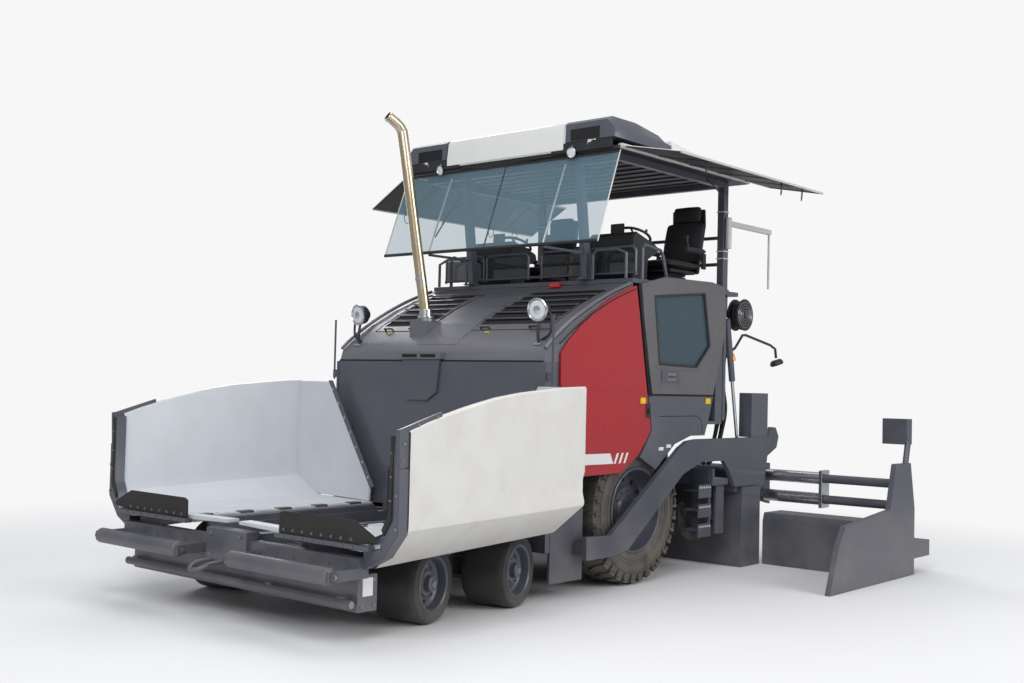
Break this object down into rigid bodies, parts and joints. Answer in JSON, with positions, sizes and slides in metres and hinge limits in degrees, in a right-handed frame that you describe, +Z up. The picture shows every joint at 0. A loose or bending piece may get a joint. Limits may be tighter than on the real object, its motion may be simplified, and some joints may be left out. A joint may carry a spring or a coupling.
{
  "type": "wheeled asphalt paver",
  "caption": "Wheeled asphalt paver with folding hopper, steered front wheels, covered operator stand and a floating screed with sliding extensions.",
  "frame": {"origin": "middle of the outer box at ground level", "axes": "-Y towards the machine's front (hopper), +X to its left, +Z up"},
  "size_m": [5.23, 6.516, 4.0884],
  "materials": {
    "frame_paint": "satin dark blue-grey",
    "body_paint": "satin blue-grey",
    "red_paint": "glossy deep red",
    "hopper_paint": "off-white, lightly worn",
    "roof_paint": "white gel coat",
    "tyre": "black, dusty",
    "steel": "bright ground steel",
    "exhaust_steel": "heat tinted stainless",
    "glass": "blue tinted",
    "seat_cover": "black cloth",
    "cast_iron": "painted casting",
    "plastic": "moulded black"
  },
  "bodies": {
    "chassis": {"main_frame": "frame_paint", "front_beam": "frame_paint", "body_shell": "body_paint", "hood": "body_paint", "engine_block": "cast_iron", "platform_deck": "body_paint", "console": "plastic", "canopy_frame": "frame_paint", "canopy_roof": "roof_paint", "windshield": "glass", "exhaust": "exhaust_steel", "auger_carrier": "frame_paint", "side_panel_left": "red_paint", "side_panel_right": "red_paint", "seat_left": "seat_cover", "seat_right": "seat_cover", "tow_guide_left": "frame_paint", "tow_guide_right": "frame_paint"},
    "screed": {"screed_main": "frame_paint", "tow_arm_left": "frame_paint", "tow_arm_right": "frame_paint", "rear_box": "body_paint"},
    "wing_left": {"hopper_wing_left": "hopper_paint"},
    "roller_left": {"push_roller_left": "frame_paint"},
    "knuckle_left_1": {"knuckle_left_1": "cast_iron"},
    "wheel_front_left_1": {"front_wheel_left_1": "tyre"},
    "knuckle_left_2": {"knuckle_left_2": "cast_iron"},
    "wheel_front_left_2": {"front_wheel_left_2": "tyre"},
    "wheel_rear_left": {"rear_wheel_left": "tyre"},
    "auger_left": {"auger_left": "cast_iron"},
    "wing_right": {"hopper_wing_right": "hopper_paint"},
    "roller_right": {"push_roller_right": "frame_paint"},
    "knuckle_right_1": {"knuckle_right_1": "cast_iron"},
    "wheel_front_right_1": {"front_wheel_right_1": "tyre"},
    "knuckle_right_2": {"knuckle_right_2": "cast_iron"},
    "wheel_front_right_2": {"front_wheel_right_2": "tyre"},
    "wheel_rear_right": {"rear_wheel_right": "tyre"},
    "auger_right": {"auger_right": "cast_iron"},
    "lift_barrel_left": {"lift_barrel_left": "frame_paint"},
    "lift_rod_left": {"lift_rod_left": "steel"},
    "hopper_barrel_left": {"hopper_barrel_left": "frame_paint"},
    "hopper_rod_left": {"hopper_rod_left": "steel"},
    "extension_left": {"screed_extension_left": "frame_paint"},
    "guide_left": {"guide_tube_left": "steel"},
    "door_left": {"service_door_left": "body_paint", "door_glass_left": "glass"},
    "awning_left": {"awning_left": "body_paint"},
    "lift_barrel_right": {"lift_barrel_right": "frame_paint"},
    "lift_rod_right": {"lift_rod_right": "steel"},
    "hopper_barrel_right": {"hopper_barrel_right": "frame_paint"},
    "hopper_rod_right": {"hopper_rod_right": "steel"},
    "extension_right": {"screed_extension_right": "frame_paint"},
    "guide_right": {"guide_tube_right": "steel"},
    "door_right": {"service_door_right": "body_paint", "door_glass_right": "glass"},
    "awning_right": {"awning_right": "body_paint"},
    "jib": {"jib": "steel"}
  },
  "joints": [
    {"name": "wing_fold_left", "type": "hinge", "parent": "chassis", "child": "wing_left", "pos_m": [0.6, -1.862, 0.62], "axis": [0, -1, 0], "range_deg": [0, 50]},
    {"name": "push_roller_spin_left", "type": "hinge", "parent": "chassis", "child": "roller_left", "pos_m": [0.8225, -3.2, 0.465], "axis": [1, 0, 0], "continuous": true},
    {"name": "steer_left_1", "type": "hinge", "parent": "chassis", "child": "knuckle_left_1", "pos_m": [0.74, -2.212, 0.28], "axis": [0, 0, 1], "range_deg": [-39.5, 10.5]},
    {"name": "front_wheel_spin_left_1", "type": "hinge", "parent": "knuckle_left_1", "child": "wheel_front_left_1", "pos_m": [1.0014, -2.1444, 0.28], "axis": [0.9681, 0.2504, 0], "continuous": true},
    {"name": "steer_left_2", "type": "hinge", "parent": "chassis", "child": "knuckle_left_2", "pos_m": [0.74, -1.286, 0.28], "axis": [0, 0, 1], "range_deg": [-39.5, 10.5]},
    {"name": "front_wheel_spin_left_2", "type": "hinge", "parent": "knuckle_left_2", "child": "wheel_front_left_2", "pos_m": [1.0014, -1.2184, 0.28], "axis": [0.9681, 0.2504, 0], "continuous": true},
    {"name": "rear_wheel_spin_left", "type": "hinge", "parent": "chassis", "child": "wheel_rear_left", "pos_m": [0.955, 0.398, 0.64], "axis": [1, 0, 0], "continuous": true},
    {"name": "auger_spin_left", "type": "hinge", "parent": "chassis", "child": "auger_left", "pos_m": [0.1, 1.718, 0.42], "axis": [1, 0, 0], "continuous": true},
    {"name": "wing_fold_right", "type": "hinge", "parent": "chassis", "child": "wing_right", "pos_m": [-0.6, -1.862, 0.62], "axis": [0, 1, 0], "range_deg": [0, 50]},
    {"name": "push_roller_spin_right", "type": "hinge", "parent": "chassis", "child": "roller_right", "pos_m": [-0.8225, -3.2, 0.465], "axis": [1, 0, 0], "continuous": true},
    {"name": "steer_right_1", "type": "hinge", "parent": "chassis", "child": "knuckle_right_1", "pos_m": [-0.74, -2.212, 0.28], "axis": [0, 0, 1], "range_deg": [-39.5, 10.5]},
    {"name": "front_wheel_spin_right_1", "type": "hinge", "parent": "knuckle_right_1", "child": "wheel_front_right_1", "pos_m": [-1.0014, -2.2796, 0.28], "axis": [0.9681, 0.2504, 0], "continuous": true},
    {"name": "steer_right_2", "type": "hinge", "parent": "chassis", "child": "knuckle_right_2", "pos_m": [-0.74, -1.286, 0.28], "axis": [0, 0, 1], "range_deg": [-39.5, 10.5]},
    {"name": "front_wheel_spin_right_2", "type": "hinge", "parent": "knuckle_right_2", "child": "wheel_front_right_2", "pos_m": [-1.0014, -1.3536, 0.28], "axis": [0.9681, 0.2504, 0], "continuous": true},
    {"name": "rear_wheel_spin_right", "type": "hinge", "parent": "chassis", "child": "wheel_rear_right", "pos_m": [-0.955, 0.398, 0.64], "axis": [1, 0, 0], "continuous": true},
    {"name": "auger_spin_right", "type": "hinge", "parent": "chassis", "child": "auger_right", "pos_m": [-0.1, 1.718, 0.42], "axis": [1, 0, 0], "continuous": true},
    {"name": "screed_lift", "type": "hinge", "parent": "chassis", "child": "screed", "pos_m": [0, -0.452, 0.385], "axis": [1, 0, 0], "range_deg": [0, 10]},
    {"name": "lift_barrel_swing_left", "type": "hinge", "parent": "chassis", "child": "lift_barrel_left", "pos_m": [1.205, 1.798, 2.35], "axis": [1, 0, 0], "range_deg": [-7.68, 0.5]},
    {"name": "lift_rod_slide_left", "type": "slide", "parent": "lift_barrel_left", "child": "lift_rod_left", "axis": [0, 0.1879, -0.9822], "range_m": [-0.43724, 0.002]},
    {"name": "hopper_barrel_swing_left", "type": "hinge", "parent": "chassis", "child": "hopper_barrel_left", "pos_m": [0.66, -1.752, 0.3], "axis": [0, -1, 0], "range_deg": [-0.5, 37.31]},
    {"name": "hopper_rod_slide_left", "type": "slide", "parent": "hopper_barrel_left", "child": "hopper_rod_left", "axis": [0.8844, 0, 0.4668], "range_m": [-0.001, 0.22556]},
    {"name": "extension_slide_left", "type": "slide", "parent": "screed", "child": "extension_left", "axis": [1, 0, 0], "range_m": [-1.27, 0]},
    {"name": "guide_slide_left", "type": "slide", "parent": "screed", "child": "guide_left", "axis": [1, 0, 0], "range_m": [-0.6005, 0]},
    {"name": "door_swing_left", "type": "hinge", "parent": "chassis", "child": "door_left", "pos_m": [1.222, 1.728, 2.1], "axis": [0, 0, 1], "range_deg": [0, 95]},
    {"name": "awning_tilt_left", "type": "hinge", "parent": "chassis", "child": "awning_left", "pos_m": [1.282, 0.938, 3.72], "axis": [0, -1, 0], "range_deg": [-19, 11]},
    {"name": "lift_barrel_swing_right", "type": "hinge", "parent": "chassis", "child": "lift_barrel_right", "pos_m": [-1.205, 1.798, 2.35], "axis": [1, 0, 0], "range_deg": [-7.68, 0.5]},
    {"name": "lift_rod_slide_right", "type": "slide", "parent": "lift_barrel_right", "child": "lift_rod_right", "axis": [0, 0.1879, -0.9822], "range_m": [-0.43724, 0.002]},
    {"name": "hopper_barrel_swing_right", "type": "hinge", "parent": "chassis", "child": "hopper_barrel_right", "pos_m": [-0.66, -1.752, 0.3], "axis": [0, 1, 0], "range_deg": [-0.5, 37.31]},
    {"name": "hopper_rod_slide_right", "type": "slide", "parent": "hopper_barrel_right", "child": "hopper_rod_right", "axis": [-0.8844, 0, 0.4668], "range_m": [-0.001, 0.22556]},
    {"name": "extension_slide_right", "type": "slide", "parent": "screed", "child": "extension_right", "axis": [-1, 0, 0], "range_m": [-1.27, 0]},
    {"name": "guide_slide_right", "type": "slide", "parent": "screed", "child": "guide_right", "axis": [-1, 0, 0], "range_m": [-0.6005, 0]},
    {"name": "door_swing_right", "type": "hinge", "parent": "chassis", "child": "door_right", "pos_m": [-1.222, 1.728, 2.1], "axis": [0, 0, -1], "range_deg": [0, 95]},
    {"name": "awning_tilt_right", "type": "hinge", "parent": "chassis", "child": "awning_right", "pos_m": [-1.282, 0.938, 3.72], "axis": [0, 1, 0], "range_deg": [0, 30]},
    {"name": "jib_swing", "type": "hinge", "parent": "chassis", "child": "jib", "pos_m": [1.1854, 1.828, 3.2], "axis": [0, 0, -1], "range_deg": [0, 90]}
  ],
  "couplings": [
    {"joint": "steer_left_2", "follows": "steer_left_1", "ratio": 1},
    {"joint": "steer_right_1", "follows": "steer_left_1", "ratio": 1},
    {"joint": "steer_right_2", "follows": "steer_left_1", "ratio": 1},
    {"joint": "lift_barrel_swing_left", "follows": "screed_lift", "ratio": -0.76344},
    {"joint": "lift_rod_slide_left", "follows": "screed_lift", "m_per_rad": -2.4995},
    {"joint": "hopper_barrel_swing_left", "follows": "wing_fold_left", "ratio": 0.74423},
    {"joint": "hopper_rod_slide_left", "follows": "wing_fold_left", "m_per_rad": 0.25733},
    {"joint": "guide_slide_left", "follows": "extension_slide_left", "ratio": 0.47244},
    {"joint": "lift_barrel_swing_right", "follows": "screed_lift", "ratio": -0.76344},
    {"joint": "lift_rod_slide_right", "follows": "screed_lift", "m_per_rad": -2.4995},
    {"joint": "hopper_barrel_swing_right", "follows": "wing_fold_right", "ratio": 0.74423},
    {"joint": "hopper_rod_slide_right", "follows": "wing_fold_right", "m_per_rad": 0.25733},
    {"joint": "guide_slide_right", "follows": "extension_slide_right", "ratio": 0.47244}
  ]
}
